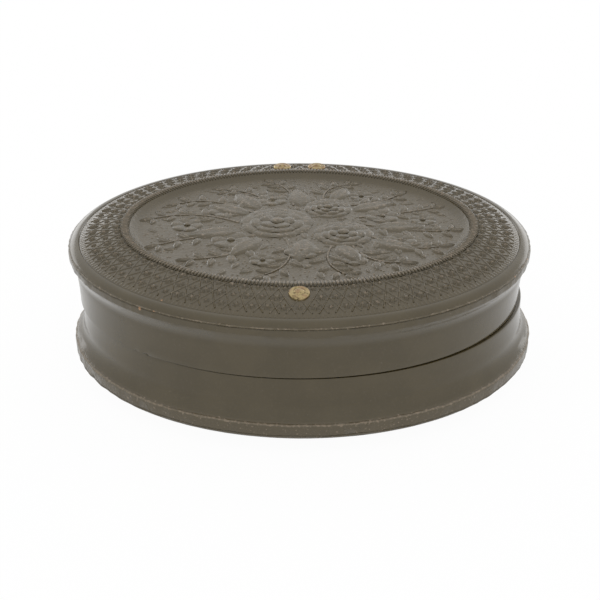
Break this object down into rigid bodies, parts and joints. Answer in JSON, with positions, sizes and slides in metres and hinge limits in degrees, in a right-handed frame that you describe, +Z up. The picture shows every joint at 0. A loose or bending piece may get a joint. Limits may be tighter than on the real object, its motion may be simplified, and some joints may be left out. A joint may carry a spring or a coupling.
{
  "type": "union case",
  "caption": "Oval moulded keepsake case for a mounted portrait: hinged lid with diaper border and reeded panel edge, snap catch, velvet pad and glazed brass-framed plate.",
  "frame": {"origin": "on the surface the case rests on, under the middle of the base", "axes": "+X along the oval's length, +Y from the catch at the front to the hinge at the back, +Z up"},
  "size_m": [0.0762, 0.0636, 0.0234],
  "materials": {
    "composition": "dark olive-brown shellac and wood-flour moulding, satin, rubbed at the edges",
    "brass": "stamped sheet, dulled",
    "gilt": "gilt rivet heads, worn",
    "velvet": "short pile, crushed",
    "pasteboard": "rag board, browned",
    "japanned_iron": "varnished",
    "glass": "clear"
  },
  "bodies": {
    "base": {"base_shell": "composition", "base_hinge_leaf": "brass", "hinge_pin": "brass", "base_hinge_rivet_left": "gilt", "base_hinge_rivet_right": "gilt", "base_catch_plate": "brass", "base_catch_rivet": "gilt", "velvet_strip": "velvet", "packing_card": "pasteboard", "preserver": "brass", "backing_card": "pasteboard", "image_plate": "japanned_iron", "brass_mat": "brass", "cover_glass": "glass"},
    "lid": {"lid_shell": "composition", "lid_hinge_leaf": "brass", "lid_hinge_rivet_left": "gilt", "lid_hinge_rivet_right": "gilt", "lid_catch_foot": "brass", "lid_catch_rivet": "gilt", "pad_card": "pasteboard", "velvet_pad": "velvet"},
    "tongue": {"catch_tongue": "brass"}
  },
  "joints": [
    {"name": "lid_swing", "type": "hinge", "parent": "base", "child": "lid", "pos_m": [0, 0.0304, 0.01165], "axis": [-1, 0, 0], "range_deg": [0, 160]},
    {"name": "catch_flex", "type": "hinge", "parent": "lid", "child": "tongue", "pos_m": [-0.0005, -0.02593, 0.0187], "axis": [1, 0, 0], "range_deg": [0, 2.5], "stiffness_Nm_per_rad": 0.05}
  ]
}
